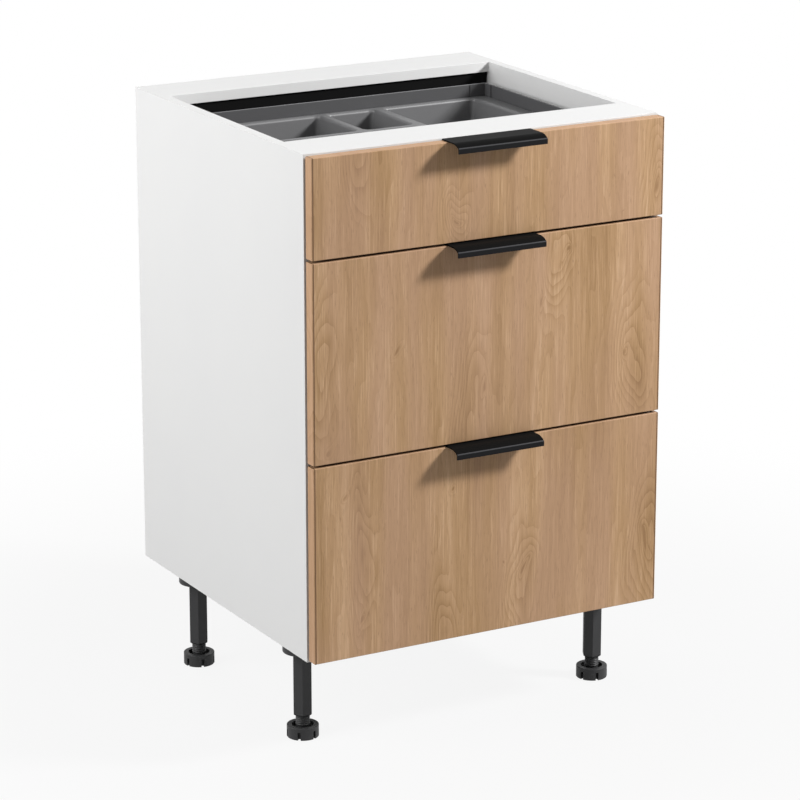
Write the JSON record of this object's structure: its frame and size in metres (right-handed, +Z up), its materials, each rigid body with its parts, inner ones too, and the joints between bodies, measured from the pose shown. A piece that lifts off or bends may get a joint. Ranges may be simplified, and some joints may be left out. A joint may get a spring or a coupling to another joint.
{
  "type": "kitchen drawer base cabinet",
  "caption": "Kitchen base cabinet with oak decor drawer fronts, black edge pulls, a white carcass open at the top, steel drawer boxes, a cutlery tray and screw feet.",
  "frame": {"origin": "on the floor, in the middle of the overall width and depth, handles included", "axes": "+X to the right seen from the fronts, +Y from the fronts to the back, +Z up"},
  "size_m": [0.6, 0.613, 0.924],
  "materials": {
    "white_melamine": "smooth satin white melamine facing on particle board",
    "oak_decor": "matt natural oak decor, upright grain",
    "hardboard": "thin hardboard, dark grey lacquered inside",
    "black_aluminium": "matt black powder coat on aluminium",
    "grey_steel": "fine-textured dark grey powder coat on steel",
    "zinc_steel": "bright zinc plated steel",
    "black_plastic": "moulded black plastic",
    "grey_plastic": "moulded grey plastic, fine grained",
    "beech": "plain beech dowel",
    "clear_bumper": "soft clear bumper",
    "grey_board": "grey melamine facing on particle board"
  },
  "bodies": {
    "cabinet": {"left_side_panel": "white_melamine", "right_side_panel": "white_melamine", "bottom_panel": "white_melamine", "front_top_rail": "white_melamine", "rear_top_rail": "white_melamine", "back_panel": "hardboard", "panel_dowels": "beech", "cam_bolts": "zinc_steel", "cam_locks": "zinc_steel", "runner_screws": "zinc_steel", "leg_sockets": "black_plastic", "leg_tube_front_left": "black_plastic", "leg_tube_front_right": "black_plastic", "leg_tube_rear_left": "black_plastic", "leg_tube_rear_right": "black_plastic", "top_cabinet_runners": "zinc_steel", "middle_cabinet_runners": "zinc_steel", "bottom_cabinet_runners": "zinc_steel"},
    "foot_front_left": {"foot_front_left": "black_plastic"},
    "foot_front_right": {"foot_front_right": "black_plastic"},
    "foot_rear_left": {"foot_rear_left": "black_plastic"},
    "foot_rear_right": {"foot_rear_right": "black_plastic"},
    "top_drawer": {"top_drawer_front": "oak_decor", "top_drawer_handle": "black_aluminium", "top_drawer_screws": "zinc_steel", "top_drawer_left_side": "grey_steel", "top_drawer_right_side": "grey_steel", "top_drawer_floor": "grey_board", "top_drawer_back": "grey_steel", "top_drawer_brackets": "grey_steel", "top_drawer_bumpers": "clear_bumper", "top_drawer_runners": "zinc_steel", "cutlery_tray": "grey_plastic"},
    "top_runner_middle": {"top_middle_runners": "zinc_steel"},
    "middle_drawer": {"middle_drawer_front": "oak_decor", "middle_drawer_handle": "black_aluminium", "middle_drawer_screws": "zinc_steel", "middle_drawer_left_side": "grey_steel", "middle_drawer_right_side": "grey_steel", "middle_drawer_floor": "grey_board", "middle_drawer_back": "grey_steel", "middle_drawer_brackets": "grey_steel", "middle_drawer_bumpers": "clear_bumper", "middle_drawer_runners": "zinc_steel", "middle_drawer_gallery_rails": "grey_steel"},
    "middle_runner_middle": {"middle_middle_runners": "zinc_steel"},
    "bottom_drawer": {"bottom_drawer_front": "oak_decor", "bottom_drawer_handle": "black_aluminium", "bottom_drawer_screws": "zinc_steel", "bottom_drawer_left_side": "grey_steel", "bottom_drawer_right_side": "grey_steel", "bottom_drawer_floor": "grey_board", "bottom_drawer_back": "grey_steel", "bottom_drawer_brackets": "grey_steel", "bottom_drawer_bumpers": "clear_bumper", "bottom_drawer_runners": "zinc_steel", "bottom_drawer_gallery_rails": "grey_steel"},
    "bottom_runner_middle": {"bottom_middle_runners": "zinc_steel"}
  },
  "joints": [
    {"name": "top_drawer_slide", "type": "slide", "parent": "cabinet", "child": "top_drawer", "axis": [0, -1, 0], "range_m": [0, 0.44]},
    {"name": "top_runner_slide", "type": "slide", "parent": "cabinet", "child": "top_runner_middle", "axis": [0, -1, 0], "range_m": [0, 0.22]},
    {"name": "middle_drawer_slide", "type": "slide", "parent": "cabinet", "child": "middle_drawer", "axis": [0, -1, 0], "range_m": [0, 0.44]},
    {"name": "middle_runner_slide", "type": "slide", "parent": "cabinet", "child": "middle_runner_middle", "axis": [0, -1, 0], "range_m": [0, 0.22]},
    {"name": "bottom_drawer_slide", "type": "slide", "parent": "cabinet", "child": "bottom_drawer", "axis": [0, -1, 0], "range_m": [0, 0.44]},
    {"name": "bottom_runner_slide", "type": "slide", "parent": "cabinet", "child": "bottom_runner_middle", "axis": [0, -1, 0], "range_m": [0, 0.22]},
    {"name": "front_left_foot_height", "type": "slide", "parent": "cabinet", "child": "foot_front_left", "axis": [0, 0, -1], "range_m": [-0.014, 0.02]},
    {"name": "front_right_foot_height", "type": "slide", "parent": "cabinet", "child": "foot_front_right", "axis": [0, 0, -1], "range_m": [-0.014, 0.02]},
    {"name": "rear_left_foot_height", "type": "slide", "parent": "cabinet", "child": "foot_rear_left", "axis": [0, 0, -1], "range_m": [-0.014, 0.02]},
    {"name": "rear_right_foot_height", "type": "slide", "parent": "cabinet", "child": "foot_rear_right", "axis": [0, 0, -1], "range_m": [-0.014, 0.02]}
  ],
  "couplings": [
    {"joint": "top_runner_slide", "follows": "top_drawer_slide", "ratio": 0.5},
    {"joint": "middle_runner_slide", "follows": "middle_drawer_slide", "ratio": 0.5},
    {"joint": "bottom_runner_slide", "follows": "bottom_drawer_slide", "ratio": 0.5}
  ]
}
